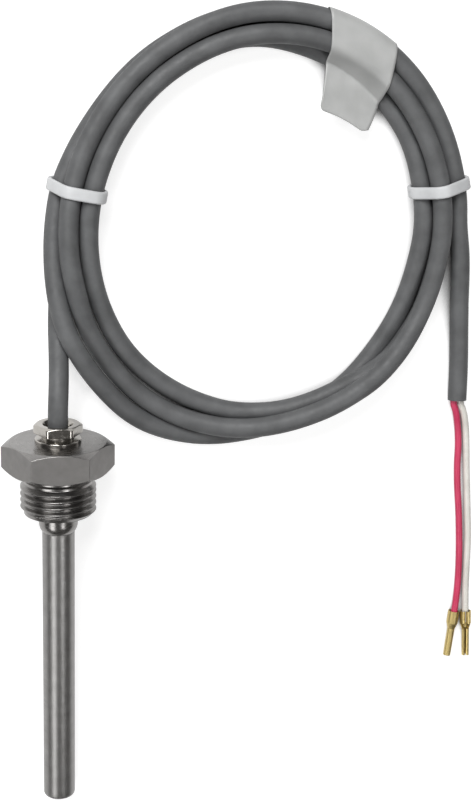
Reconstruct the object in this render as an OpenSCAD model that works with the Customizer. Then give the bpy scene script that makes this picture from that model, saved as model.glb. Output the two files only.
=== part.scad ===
// Screw-in resistance thermometer: an immersion well with a hexagon head and a
// compression gland, an inner sensor capsule, and a coiled two-core cable that
// ends in crimp contacts. The probe lies on its hexagon and its tip.

/* [Hexagon head] */
// Width of the hexagon across its flats
hex_af = 27; // [24:0.5:32]
// Thickness of the hexagon
hex_h = 8.4; // [7.5:0.1:12]
// Flat rim left between each face circle and the sides of the hexagon
hex_rim = 0.25; // [0.1:0.05:1]
// Angle of the chamfer on the corners of the hexagon
hex_chamfer_angle = 30; // [15:1:35]

/* [Process thread] */
// Outside diameter of the pipe thread
thread_d = 20.955; // [18:0.005:22]
// Length of the threaded stub below the sealing face
stub_len = 12; // [8:0.5:16]
// Depth of the relief groove behind the sealing face
relief_depth = 0.78; // [0.4:0.01:1.2]
// Width of the relief groove
relief_w = 1.8; // [1:0.1:3]
// Lead-in chamfer at the end of the thread
thread_chamfer = 1.05; // [0.5:0.05:1.5]

/* [Collar] */
// Diameter of the collar that carries the tube
collar_d = 10.8; // [10.6:0.1:14]
// Length of the straight part of the collar
collar_len = 3; // [1:0.5:8]
// Length of the rounded run-out from the collar to the tube
collar_round_len = 2.6; // [1:0.1:5]
// Wall left at the thin end of the collar
collar_lip = 0.2; // [0.15:0.05:0.5]

/* [Immersion tube] */
// Length from the sealing face to the tip
insert_len = 100; // [60:5:200]
// Outside diameter of the immersion tube
tube_d = 9; // [8.6:0.1:9.4]
// Wall of the immersion tube
tube_wall = 1; // [0.5:0.05:1.15]
// Depth at which the tube ends inside the head, below the sealing face
tube_seat = 4; // [3:0.5:7]
// Depth by which the seated end of the tube is turned down
spigot_step = 0.25; // [0.1:0.05:0.4]
// Thickness of the welded tip plug
tip_h = 3; // [2:0.5:5]
// Rounding of the edge of the tip
tip_round = 1; // [0.5:0.1:1.5]
// Diameter of the weld pip in the middle of the tip
pip_d = 3; // [1:0.5:4]
// Height of the weld pip
pip_h = 0.3; // [0.1:0.1:0.5]

/* [Compression gland] */
// Outside diameter of the threaded sleeve of the gland
gland_d = 10.5; // [10.2:0.1:11.5]
// Depth of the gland sleeve, measured from the top of the hexagon
gland_depth = 9.4; // [9:0.1:10.5]
// Diameter of the gland flange
flange_d = 12; // [12:0.5:15]
// Thickness of the gland flange
flange_h = 1; // [0.6:0.1:2]
// Diameter of the chamber for the seal in the gland
chamber_d = 9; // [8.6:0.1:9.4]
// Height of the rubber seal
seal_h = 3.5; // [2.5:0.1:4.5]
// Thickness of the pressure washer
washer_h = 0.6; // [0.3:0.1:1]
// Length of the round shank of the clamping screw inside the gland
shank_len = 3.3; // [2:0.1:3.6]
// Width of the clamping screw across its flats
screw_af = 12; // [11:0.5:14]
// Height of the hexagon of the clamping screw
screw_hex_h = 2.6; // [2:0.1:4]
// Height of the round neck left above the flange
screw_neck_h = 1.5; // [0.5:0.1:3]
// Diameter of the cable mouth at the top of the screw
mouth_d = 8.2; // [7:0.1:9]
// Depth of the flared mouth
mouth_depth = 3; // [1:0.1:3.5]
// Angle between the clamping screw and the hexagon head
screw_turn = 2; // [0:1:60]

/* [Sensor capsule] */
// Outside diameter of the capsule
capsule_d = 6.4; // [6.2:0.05:6.5]
// Wall of the capsule
capsule_wall = 0.3; // [0.15:0.05:0.3]
// Length of the capsule
capsule_len = 44.7; // [42:0.1:48]
// Depth of the potting compound
potting_h = 12; // [11.5:0.1:14]
// Diameter of the resistance element
element_d = 2.8; // [2.6:0.1:3.6]
// Length of the resistance element
element_len = 10; // [6:0.5:11]
// Diameter of the bare leads of the element
lead_wire_d = 0.4; // [0.2:0.05:0.45]
// Length of the bare leads
lead_wire_len = 9; // [4:0.5:10]
// Diameter of the splice sleeves
splice_d = 1.6; // [1:0.1:1.9]
// Length of the splice sleeves
splice_len = 6; // [3:0.5:7]
// Length of insulated core between the jacket and the splice
inner_core_len = 9; // [5:0.5:9.5]

/* [Cable] */
// Outside diameter of the cable jacket
cable_d = 5.5; // [4.6:0.1:5.55]
// Diameter of the insulated cores
core_d = 2; // [1.8:0.05:2.1]
// Distance between the two cores
core_pitch = 2.1; // [2.1:0.05:2.3]

/* [Coil] */
// Inside diameter of the coiled bundle
coil_in_d = 89; // [80:1:100]
// Radial width of the bundle
coil_w = 15; // [13:0.5:20]
// Height of the bundle
coil_h = 10.8; // [10:0.1:16]
// Rounding of the section of the bundle
coil_round = 4.5; // [1:0.1:5]
// Width of the wire ties
tie_w = 3.4; // [2.5:0.1:5]
// Thickness of the wire ties
tie_t = 1.2; // [0.8:0.1:2]
// Direction of the left tie from the middle of the coil
tie_left_angle = 170; // [160:1:200]
// Direction of the right tie from the middle of the coil
tie_right_angle = 12; // [0:1:20]

/* [Label] */
// Thickness of the label film
label_t = 0.25; // [0.2:0.05:0.4]
// First edge of the label, as a direction from the middle of the coil
label_start = 54.5; // [30:0.5:60]
// Sweep of the label round the coil
label_sweep = 20; // [10:1:30]
// Angle by which the free ends lie behind the outer side, because it is wound at a slant
label_slant = 9; // [0:1:15]
// Reach of the label past the inside of the bundle
label_reach = 6.8; // [2:0.1:12]
// Height at which the upper end of the label hangs
label_end_h = 2; // [1.5:0.1:6]

/* [Crimp contacts] */
// Thickness of the contact strip
strip_t = 0.3; // [0.2:0.05:0.35]
// Length of the insulation crimp
grip_len = 3.7; // [2.5:0.1:4.5]
// Room across the insulation crimp beyond the core and the strip
grip_room = 0.8; // [0.7:0.05:1]
// Outside diameter of each curled edge of the insulation crimp
grip_curl_d = 1.3; // [1.1:0.05:1.4]
// Length of the open neck between the crimp and the barrel
neck_len = 1.8; // [0.8:0.05:2.5]
// Width of the rolled barrel
barrel_w = 2.2; // [2:0.05:2.5]
// Outside diameter of each curled edge of the barrel
barrel_curl_d = 0.96; // [0.8:0.02:1]
// Length of the rolled barrel
barrel_len = 8.4; // [5:0.1:10]
// Opening left between the curled edges
seam_gap = 0.18; // [0.1:0.02:0.3]

/* [Clearances] */
// Radial clearance of turned parts that fit in one another
fit = 0.05; // [0.02:0.01:0.1]
// Radial clearance of the insulation in its crimp
grip_fit = 0.07; // [0.05:0.01:0.12]
// Radial clearance round the cable where it passes through metal
cable_slack = 0.25; // [0.1:0.05:0.3]
// Clearance between soft or loose pieces
loose = 0.3; // [0.2:0.05:0.5]

/* [Hidden] */
$fn = 96;
eps = 0.01;

// Heights along the probe: 0 is the sealing face, plus is toward the cable.
gland_bottom = hex_h - gland_depth;
flange_top = hex_h + flange_h;
screw_hex_bottom = flange_top + screw_neck_h;
screw_top = screw_hex_bottom + screw_hex_h;
washer_top = flange_top - shank_len;
washer_bottom = washer_top - washer_h;
seal_bottom = washer_bottom - seal_h;
collar_bottom = -stub_len - collar_len;
shoulder = collar_bottom - collar_round_len - fit;
tube_bottom = -insert_len + tip_h;
capsule_bottom = tube_bottom + loose;
capsule_top = capsule_bottom + capsule_len;
potting_bottom = capsule_bottom + capsule_wall + fit;
potting_top = potting_bottom + potting_h;
element_bottom = potting_top - element_len;
splice_bottom = potting_top + lead_wire_len;
splice_top = splice_bottom + splice_len;
jacket_bottom = splice_top + inner_core_len;

// Radii of the fits.
hex_face_r = hex_af / 2 - hex_rim;
relief_r = thread_d / 2 - relief_depth;
spigot_r = tube_d / 2 - spigot_step;
socket_r = spigot_r + fit;
bore_r = tube_d / 2 - tube_wall;
gland_hole_r = gland_d / 2 + fit;
chamber_r = chamber_d / 2;
cable_hole_r = cable_d / 2 + cable_slack;
passage_r = bore_r + cable_slack;
capsule_bore_r = capsule_d / 2 - capsule_wall;

// The probe rests on the lower front edge of its hexagon and on its tip.
edge_back = hex_rim * tan(hex_chamfer_angle);
rest_dx = edge_back + insert_len - pip_h - tip_round;
rest_dy = hex_af / 2 - (tube_d / 2 - tip_round);
tilt = atan2(rest_dy, rest_dx) - asin(tip_round / norm([rest_dx, rest_dy]));
face_z = hex_af / 2 * cos(tilt) - edge_back * sin(tilt);
face_y = (insert_len * cos(tilt) - screw_top * cos(tilt) - screw_af / 2 * sin(tilt)) / 2;
axis_dir = [0, cos(tilt), sin(tilt)];
cable_exit = [0, face_y, face_z] + screw_top * axis_dir;

// The coil lies beside the cable end of the probe, on its ties.
coil_x = 56.6;
coil_y = face_y + 65.8;
coil_in_r = coil_in_d / 2;
coil_out_r = coil_in_r + coil_w;
coil_top = tie_t + coil_h;

// Routes of the free cable and its cores, from the foot of the sealing face.
LEAD_ROUTE = [[0.2, 21.5, 14.1], [0.4, 26, 12], [0.5, 31, 9.2], [0.5, 38.4, 5.4]];
TAIL_ROUTE = [[115.3, 46, 3.6], [115.8, 37, 2.9], [116.2, 26, 2.75], [116.2, 16, 2.75]];
RED_ROUTE = [
  [115.9, 13, 2.5], [117.1, 8.5, 1.3], [117.7, 3, 1], [117.7, -4, 1], [118, -10, 1],
  [118.7, -17.5, 1], [119.2, -25, 1], [119.5, -34, 1], [119.3, -42, 1.2]
];
WHITE_ROUTE = [
  [118.2, 13, 2.5], [119.5, 8.5, 1.3], [120.1, 3, 1], [120.5, -4.5, 1], [121, -12, 1],
  [121.5, -19.5, 1], [121.9, -27, 1], [121.9, -36, 1], [121.9, -43, 1.1]
];
cable_end = TAIL_ROUTE[len(TAIL_ROUTE) - 1];

// Mouth of each crimp contact, the way that it points, and its roll: 0 has
// the seam up, 180 has it down.
RED_MOUTH = [118.5, -49];
RED_TURN = -6.9;
RED_ROLL = 180;
WHITE_MOUTH = [122, -49];
WHITE_TURN = 2.3;
WHITE_ROLL = 10;
grip_w = core_d + 2 * strip_t + grip_room;
core_drop = grip_room / 2 - grip_fit;
core_insert = grip_len - loose;

// Places what follows along the tilted probe, with its axis as local Z.
module laid() {
  translate([0, face_y, face_z])
    rotate([tilt - 90, 0, 0])
      children();
}

// A round bar between two heights.
module bar(r, bottom, top) {
  translate([0, 0, bottom])
    cylinder(h = top - bottom, r = r);
}

// A round sleeve between two heights.
module sleeve(r_out, r_in, bottom, top) {
  difference() {
    bar(r_out, bottom, top);
    bar(r_in, bottom - 1, top + 1);
  }
}

// A turned hexagon, chamfered by a cone on the faces that are asked for.
module turned_hexagon(af, face_r, h, angle, both = true) {
  corner_r = af / 2 / cos(30);
  out_r = corner_r + 1;
  drop = (out_r - face_r) * tan(angle);
  intersection() {
    cylinder(h = h, r = corner_r, $fn = 6);
    rotate_extrude()
      polygon(concat(
        both ? [[0, 0], [face_r, 0], [out_r, drop]] : [[0, 0], [out_r, 0]],
        [[out_r, h - drop], [face_r, h], [0, h]]
      ));
  }
}

// A rectangle with round corners, from its middle.
module round_rect(w, h, r) {
  square([w - 2 * r, h], center = true);
  square([w, h - 2 * r], center = true);
  for (sx = [-1, 1], sy = [-1, 1])
    translate([sx * (w / 2 - r), sy * (h / 2 - r)])
      circle(r = r);
}

// The threaded stub, the collar and its rounded run-out, as one outline.
module stub_outline() {
  thread_r = thread_d / 2;
  lip_r = socket_r + collar_lip;
  fall = collar_d / 2 - lip_r;
  round_r = (pow(collar_round_len, 2) + pow(fall, 2)) / (2 * fall);
  sweep = asin(collar_round_len / round_r);
  run_out = [
    for (i = [0 : 8])
      [
        collar_d / 2 - round_r * (1 - cos(sweep * i / 8)),
        collar_bottom - round_r * sin(sweep * i / 8)
      ]
  ];
  polygon(concat(
    [
      [0, 1],
      [relief_r, 1],
      [relief_r, -relief_w + relief_depth],
      [thread_r, -relief_w],
      [thread_r, -stub_len + thread_chamfer],
      [thread_r - thread_chamfer, -stub_len],
      [collar_d / 2, -stub_len]
    ],
    run_out,
    [[0, collar_bottom - collar_round_len]]
  ));
}

// Hexagon head, process thread and collar, turned from one bar.
module well_head() {
  color([0.55, 0.54, 0.52])
    laid()
      difference() {
        union() {
          turned_hexagon(hex_af, hex_face_r, hex_h, hex_chamfer_angle);
          rotate_extrude()
            stub_outline();
        }
        bar(gland_hole_r, gland_bottom - loose, hex_h + 1);
        bar(passage_r, -tube_seat - 1, gland_bottom);
        bar(socket_r, collar_bottom - collar_round_len - 1, -tube_seat);
      }
}

// Immersion tube, turned down where it sits in the socket of the head.
module well_tube() {
  color([0.6, 0.59, 0.57])
    laid()
      difference() {
        union() {
          bar(tube_d / 2, tube_bottom, shoulder);
          bar(spigot_r, shoulder - eps, -tube_seat - fit);
        }
        bar(bore_r, tube_bottom - 1, 0);
      }
}

// Round plug welded into the end of the tube, with its weld pip.
module well_tip() {
  edge_z = -insert_len + pip_h;
  color([0.6, 0.59, 0.57])
    laid()
      rotate_extrude()
        polygon(concat(
          [[0, tube_bottom], [tube_d / 2, tube_bottom]],
          [
            for (i = [0 : 8])
              [
                tube_d / 2 - tip_round + tip_round * cos(i * 90 / 8),
                edge_z + tip_round - tip_round * sin(i * 90 / 8)
              ]
          ],
          [[pip_d / 2, edge_z], [pip_d / 4, -insert_len], [0, -insert_len]]
        ));
}

// Flanged sleeve of the gland, screwed into the head.
module gland_body() {
  edge = 0.35;
  color([0.66, 0.65, 0.62])
    laid()
      difference() {
        rotate_extrude()
          polygon([
            [0, gland_bottom],
            [gland_d / 2 - edge, gland_bottom],
            [gland_d / 2, gland_bottom + edge],
            [gland_d / 2, hex_h],
            [flange_d / 2, hex_h],
            [flange_d / 2, flange_top - edge],
            [flange_d / 2 - edge, flange_top],
            [0, flange_top]
          ]);
        bar(chamber_r, seal_bottom, flange_top + 1);
        bar(cable_hole_r, gland_bottom - 1, seal_bottom + 1);
      }
}

// Rubber sleeve that grips the cable.
module gland_seal() {
  color([0.1, 0.1, 0.1])
    laid()
      sleeve(chamber_r - fit, cable_d / 2 + fit, seal_bottom, washer_bottom);
}

// Washer that keeps the screw from twisting the rubber.
module gland_washer() {
  color([0.7, 0.66, 0.5])
    laid()
      sleeve(chamber_r - fit, cable_hole_r, washer_bottom, washer_top);
}

// Hollow clamping screw with a hexagon and a flared cable mouth.
module gland_screw() {
  rim = 0.3;
  color([0.7, 0.69, 0.66])
    laid()
      rotate(screw_turn)
        difference() {
          union() {
            bar(chamber_r - fit, washer_top, screw_hex_bottom + eps);
            translate([0, 0, screw_hex_bottom])
              turned_hexagon(screw_af, screw_af / 2 - rim / 2, screw_hex_h, 30, false);
          }
          bar(cable_hole_r, washer_top - 1, screw_top + 1);
          translate([0, 0, screw_top - mouth_depth])
            cylinder(h = mouth_depth + eps, r1 = cable_hole_r, r2 = mouth_d / 2);
        }
}

// Closed steel capsule that holds the sensing element.
module sensor_capsule() {
  color([0.72, 0.72, 0.7])
    laid()
      difference() {
        bar(capsule_d / 2, capsule_bottom, capsule_top);
        bar(capsule_bore_r, capsule_bottom + capsule_wall, capsule_top + 1);
      }
}

// Potting compound with the pocket of the element.
module capsule_potting() {
  color([0.85, 0.82, 0.72])
    laid()
      difference() {
        bar(capsule_bore_r - fit, potting_bottom, potting_top);
        bar(element_d / 2 + fit, element_bottom - fit, potting_top + 1);
      }
}

// Ceramic resistance element.
module rtd_element() {
  color([0.93, 0.92, 0.88])
    laid()
      bar(element_d / 2, element_bottom, potting_top);
}

// One of two like pieces beside the probe axis: side is -1 or 1.
module beside(side) {
  translate([side * core_pitch / 2, 0, 0])
    children();
}

// Bare leads of the element.
module lead_red() {
  color([0.8, 0.78, 0.74])
    laid()
      beside(-1)
        bar(lead_wire_d / 2, potting_top, splice_bottom);
}

module lead_white() {
  color([0.8, 0.78, 0.74])
    laid()
      beside(1)
        bar(lead_wire_d / 2, potting_top, splice_bottom);
}

// Crimped splice sleeves between the leads and the cores.
module splice_red() {
  color([0.75, 0.7, 0.6])
    laid()
      beside(-1)
        bar(splice_d / 2, splice_bottom, splice_top);
}

module splice_white() {
  color([0.75, 0.7, 0.6])
    laid()
      beside(1)
        bar(splice_d / 2, splice_bottom, splice_top);
}

// Insulated cores between the splices and the end of the jacket.
module core_red_inner() {
  color([0.75, 0.15, 0.3])
    laid()
      beside(-1)
        bar(core_d / 2, splice_top, jacket_bottom);
}

module core_white_inner() {
  color([0.9, 0.89, 0.86])
    laid()
      beside(1)
        bar(core_d / 2, splice_top, jacket_bottom);
}

// Cable inside the probe, up to the mouth of the gland.
module cable_inner() {
  color([0.4, 0.4, 0.4])
    laid()
      bar(cable_d / 2, jacket_bottom, screw_top);
}

// Unit vector.
function unit(v) = v / norm(v);

// Direction of a route at one of its points.
function way(route, i) =
  unit(route[min(i + 1, len(route) - 1)] - route[max(i - 1, 0)]);

// One ring of a swept tube, square to the way of the route.
function ring(center, dir, r, sides) =
  let (across = unit(cross(dir, [0, 0, 1])), up = cross(across, dir))
  [for (j = [0 : sides - 1]) center + r * (cos(360 * j / sides) * across + sin(360 * j / sides) * up)];

// A list without its first item, and a list from its last item to its first.
function rest(list) = [for (i = [1 : len(list) - 1]) list[i]];
function backward(list) = [for (i = [len(list) - 1 : -1 : 0]) list[i]];

// A face of four corners as two triangles, because it may not be flat.
function split(a, b, c, d) = [[a, b, c], [a, c, d]];

// End faces of a loft. A thin outline runs out along one side of a strip and
// back along the other, and is closed by a row of faces across the strip.
function end_faces(sides, thin) =
  thin
    ? [for (j = [0 : sides / 2 - 2]) each split(j, j + 1, sides - 2 - j, sides - 1 - j)]
    : [[for (j = [0 : sides - 1]) j]];

// A closed solid through outlines that have as many points each.
module lofted(outlines, thin = false) {
  sides = len(outlines[0]);
  last = (len(outlines) - 1) * sides;
  ends = end_faces(sides, thin);
  side_faces = [
    for (i = [0 : len(outlines) - 2], j = [0 : sides - 1])
      let (k = (j + 1) % sides, a = i * sides, b = (i + 1) * sides)
      each split(a + j, a + k, b + k, b + j)
  ];
  polyhedron(
    points = [for (outline = outlines) each outline],
    faces = concat(
      [for (face = ends) backward(face)],
      side_faces,
      [for (face = ends) [for (j = face) last + j]]
    )
  );
}

// A round tube swept along a route.
module swept_tube(route, d, sides) {
  lofted([for (i = [0 : len(route) - 1]) ring(route[i], way(route, i), d / 2, sides)]);
}

// A route measured from the foot of the sealing face.
function from_face(route) = [for (p = route) p + [0, face_y, 0]];

// Free cable from the gland to the coil.
module cable_lead() {
  color([0.38, 0.39, 0.4])
    swept_tube(concat([cable_exit, cable_exit + 4 * axis_dir], from_face(LEAD_ROUTE)), cable_d, 12);
}

// The coiled length, as one solid of its outer shape.
module cable_coil() {
  color([0.3, 0.31, 0.32])
    translate([coil_x, coil_y, tie_t + coil_h / 2])
      rotate_extrude()
        translate([(coil_in_r + coil_out_r) / 2, 0])
          round_rect(coil_w, coil_h, coil_round);
}

// Free cable from the coil to the stripped end.
module cable_tail() {
  color([0.38, 0.39, 0.4])
    swept_tube(from_face(TAIL_ROUTE), cable_d, 12);
}

// Points along an arc.
function arc(middle, r, from, to, steps) =
  [for (i = [0 : steps]) let (a = from + (to - from) * i / steps) middle + r * [cos(a), sin(a)]];

// Radius of a rolled strip to the middle of its thickness.
function strip_r(outer_d) = (outer_d - strip_t) / 2;

// Direction at which the wall of a rolled strip passes into its curled edge.
function curl_start(w, curl_d) =
  acos(((seam_gap + strip_t) / 2 + strip_r(curl_d)) / (strip_r(w) - strip_r(curl_d)));

// Middle of the curled edge on the right.
function curl_middle(w, curl_d) =
  let (a = curl_start(w, curl_d))
  (strip_r(w) - strip_r(curl_d)) * [cos(a), sin(a)];

// Right half of a rolled strip, from its floor to the tip of its curled edge.
function strip_side(w, curl_d, off) =
  let (a = curl_start(w, curl_d))
  concat(
    arc([0, 0], strip_r(w) + off, -90, 0, 6),
    rest(arc([0, 0], strip_r(w) + off, 0, a, 2)),
    rest(arc(curl_middle(w, curl_d), strip_r(curl_d) + off, a, 180, 6))
  );

// Height of the axis of a contact that lies on its floor or on its curled edges.
function contact_z(roll) =
  cos(roll) > 0 ? grip_w / 2 : curl_middle(grip_w, grip_curl_d)[1] + grip_curl_d / 2;

// Middle of the core at a depth inside a crimp contact.
function in_contact(mouth, turn, roll, depth) = [
  mouth[0] + depth * sin(turn) + core_drop * sin(roll),
  face_y + mouth[1] - depth * cos(turn),
  contact_z(roll) - core_drop * cos(roll)
];

// One insulated core, from the end of the jacket into its contact.
module free_core(side, route, mouth, turn, roll) {
  start = [cable_end[0] + side * core_pitch / 2, face_y + cable_end[1], cable_end[2]];
  swept_tube(
    concat(
      [start, start - [0, core_d / 2, 0]],
      from_face(route),
      [for (depth = [-2, 0, core_insert]) in_contact(mouth, turn, roll, depth)]
    ),
    core_d,
    8
  );
}

module core_red() {
  color([0.78, 0.2, 0.35])
    free_core(-1, RED_ROUTE, RED_MOUTH, RED_TURN, RED_ROLL);
}

module core_white() {
  color([0.88, 0.87, 0.84])
    free_core(1, WHITE_ROUTE, WHITE_MOUTH, WHITE_TURN, WHITE_ROLL);
}

// A strip rolled into a channel, with both edges curled in along its seam.
module rolled_strip(w, curl_d, length) {
  outside = strip_side(w, curl_d, strip_t / 2);
  inside = strip_side(w, curl_d, -strip_t / 2);
  flip = [[-1, 0], [0, 1]];
  linear_extrude(height = length)
    polygon(concat(
      outside,
      backward(inside),
      rest(inside) * flip,
      backward(rest(outside)) * flip
    ));
}

// The floor of a rolled strip, open above its axis, at a height.
function floor_outline(w, height) = [
  for (p = concat(arc([0, 0], w / 2 - strip_t, -180, 0, 12), arc([0, 0], w / 2, 0, -180, 12)))
    [p[0], p[1], height]
];

// Crimp contact: insulation crimp, open neck and rolled barrel.
module crimp_contact() {
  barrel_start = grip_len + neck_len;
  rolled_strip(grip_w, grip_curl_d, grip_len);
  lofted([floor_outline(grip_w, grip_len), floor_outline(barrel_w, barrel_start)], thin = true);
  translate([0, 0, barrel_start])
    rolled_strip(barrel_w, barrel_curl_d, barrel_len);
}

// Places a contact on the surface.
module contact_at(mouth, turn, roll) {
  translate([mouth[0], face_y + mouth[1], contact_z(roll)])
    rotate([0, 0, turn])
      rotate([90, 0, 0])
        rotate([0, 0, roll])
          crimp_contact();
}

module contact_red() {
  color([0.78, 0.62, 0.32])
    contact_at(RED_MOUTH, RED_TURN, RED_ROLL);
}

module contact_white() {
  color([0.78, 0.62, 0.32])
    contact_at(WHITE_MOUTH, WHITE_TURN, WHITE_ROLL);
}

// A closed band round the section of the bundle.
module wire_tie(angle) {
  hole_w = coil_w + 2 * loose;
  hole_h = coil_h + loose;
  hole_round = coil_round + loose;
  translate([coil_x, coil_y, 0])
    rotate([0, 0, angle])
      translate([(coil_in_r + coil_out_r) / 2, tie_w / 2, tie_t + hole_h / 2])
        rotate([90, 0, 0])
          linear_extrude(height = tie_w)
            difference() {
              round_rect(hole_w + 2 * tie_t, hole_h + 2 * tie_t, hole_round + tie_t);
              round_rect(hole_w, hole_h, hole_round);
            }
}

module tie_left() {
  color([0.88, 0.87, 0.83])
    wire_tie(tie_left_angle);
}

module tie_right() {
  color([0.88, 0.87, 0.83])
    wire_tie(tie_right_angle);
}

// Section of the label on one face of its film: under the bundle, round its
// outer side, over its top, and down in a straight flap to the free end.
function film_line(off) =
  let (
    r = coil_round + loose + label_t / 2,
    end = [coil_in_r - label_reach, label_end_h],
    inner = [coil_in_r + coil_round, coil_top - coil_round],
    outer_r = coil_out_r - coil_round,
    to_end = end - inner,
    flap = 360 + atan2(to_end[1], to_end[0]) - acos(r / norm(to_end))
  )
  concat(
    [[end[0], tie_t + coil_round - r - off]],
    arc([outer_r, tie_t + coil_round], r + off, -90, 0, 5),
    arc([outer_r, coil_top - coil_round], r + off, 0, 90, 5),
    arc(inner, r + off, 90, flap, 3),
    [end + off * [cos(flap), sin(flap)]]
  );

// Film wrapped round the outside of the bundle at a slant, with its ends free inside.
module label_flag() {
  section = concat(film_line(label_t / 2), backward(film_line(-label_t / 2)));
  columns = 8;
  depth = coil_w + label_reach;
  color([0.75, 0.76, 0.76])
    translate([coil_x, coil_y, 0])
      lofted(
        [
          for (c = [0 : columns])
            [
              for (p = section)
                let (a = label_start + label_sweep * c / columns - label_slant * (coil_out_r - p[0]) / depth)
                [p[0] * cos(a), p[0] * sin(a), p[1]]
            ]
        ],
        thin = true
      );
}

well_head();
well_tube();
well_tip();
gland_body();
gland_seal();
gland_washer();
gland_screw();
sensor_capsule();
capsule_potting();
rtd_element();
lead_red();
lead_white();
splice_red();
splice_white();
core_red_inner();
core_white_inner();
cable_inner();
cable_lead();
cable_coil();
cable_tail();
core_red();
core_white();
contact_red();
contact_white();
tie_left();
tie_right();
label_flag();
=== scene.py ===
import math

import bpy
import numpy as np
from mathutils import Matrix, Vector


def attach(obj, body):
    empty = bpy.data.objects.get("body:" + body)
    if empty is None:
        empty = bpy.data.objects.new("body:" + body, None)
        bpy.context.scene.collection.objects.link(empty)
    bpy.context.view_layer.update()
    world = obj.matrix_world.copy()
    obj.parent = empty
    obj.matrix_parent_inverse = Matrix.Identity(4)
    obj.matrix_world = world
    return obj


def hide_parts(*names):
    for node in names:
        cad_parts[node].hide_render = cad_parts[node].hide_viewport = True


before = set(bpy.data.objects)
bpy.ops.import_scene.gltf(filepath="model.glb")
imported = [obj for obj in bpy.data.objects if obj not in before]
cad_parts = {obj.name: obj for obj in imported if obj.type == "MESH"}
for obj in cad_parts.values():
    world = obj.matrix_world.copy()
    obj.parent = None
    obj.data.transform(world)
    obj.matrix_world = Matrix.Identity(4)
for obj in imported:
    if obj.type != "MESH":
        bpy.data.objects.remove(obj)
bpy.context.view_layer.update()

# ---------------------------------------------------------------- place of the probe
# The probe lies on the front edge of its hexagon and on its tip, so its axis
# leans by a few degrees. Everything turned is built along local Z, in
# millimetres from the sealing face, and then laid down with this matrix.
MM = 0.001
HEX_FLATS = 27.0
HEX_RIM = 0.25
HEX_CHAMFER = math.radians(30)
INSERT_LENGTH = 100.0
TUBE_R = 4.5
TIP_ROUND = 1.0
PIP_H = 0.3
SCREW_TOP = 13.5
SCREW_FLATS = 12.0
edge_back = HEX_RIM * math.tan(HEX_CHAMFER)
rest_dx = edge_back + INSERT_LENGTH - PIP_H - TIP_ROUND
rest_dy = HEX_FLATS / 2 - (TUBE_R - TIP_ROUND)
tilt = math.atan2(rest_dy, rest_dx) - math.asin(TIP_ROUND / math.hypot(rest_dx, rest_dy))
face_z = HEX_FLATS / 2 * math.cos(tilt) - edge_back * math.sin(tilt)
face_y = ((INSERT_LENGTH - SCREW_TOP) * math.cos(tilt) - SCREW_FLATS / 2 * math.sin(tilt)) / 2
laid = (
    Matrix.Scale(MM, 4)
    @ Matrix.Translation((0, face_y, face_z))
    @ Matrix.Rotation(tilt - math.pi / 2, 4, "X")
)


# ---------------------------------------------------------------- camera
# A long lens looks down on the probe from a little behind its head and to
# its left, so that the tube points down in the view and the coil lies flat.
CAMERA_AT = Vector((-14.8, face_y + 97.3, 417.6)) * MM
CAMERA_YAW = math.radians(9.0)
CAMERA_PITCH = math.radians(10.84)
CAMERA_ROLL = math.radians(0.87)
CAMERA_LENS = 67.5
back = Vector((
    -math.sin(CAMERA_YAW) * math.cos(CAMERA_PITCH),
    math.sin(CAMERA_PITCH),
    math.cos(CAMERA_YAW) * math.cos(CAMERA_PITCH),
))
level_right = Vector((0, 1, 0)).cross(back).normalized()
level_up = back.cross(level_right)
right = math.cos(CAMERA_ROLL) * level_right + math.sin(CAMERA_ROLL) * level_up
up = -math.sin(CAMERA_ROLL) * level_right + math.cos(CAMERA_ROLL) * level_up
camera_data = bpy.data.cameras.new("camera")
camera_data.lens = CAMERA_LENS
camera = bpy.data.objects.new("camera", camera_data)
camera.matrix_world = Matrix.Translation(CAMERA_AT) @ Matrix((right, up, back)).transposed().to_4x4()
bpy.context.scene.collection.objects.link(camera)
bpy.context.scene.camera = camera


# ---------------------------------------------------------------- cable
# Two-core cable in a grey PVC jacket. It leaves the gland, is wound clockwise
# in four loose turns that pass over and under each other, and runs out beside
# the probe. The turns are a loop over the lie of each turn round the coil.
CABLE_D = 5.5
CABLE_STEP = 2.0
GLAND_STRAIGHT = 4
COIL_MIDDLE = (55.5, face_y + 67.0)
TURN_STEP = 5
probe_way = Vector((0, math.cos(tilt), math.sin(tilt)))
cable_exit = Vector((0, face_y, face_z)) + SCREW_TOP * probe_way
# Lead and tail: across, along from the middle of the sealing face, height.
LEAD_ROUTE = [
    (0.2, 21.5, 14.1), (0.4, 26, 12), (0.5, 31, 9.2), (0.5, 38.4, 5.4), (0.6, 42, 4),
    (0.8, 46, 3.1), (1.2, 51, 2.75), (2.4, 56, 2.75), (4.2, 62, 2.75),
]
TAIL_ROUTE = [
    (114.5, 58, 5.2), (115, 52, 4.4), (115.3, 46, 3.6), (115.8, 37, 2.9), (116.2, 26, 2.75),
    (116.2, 16, 2.75),
]
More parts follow.
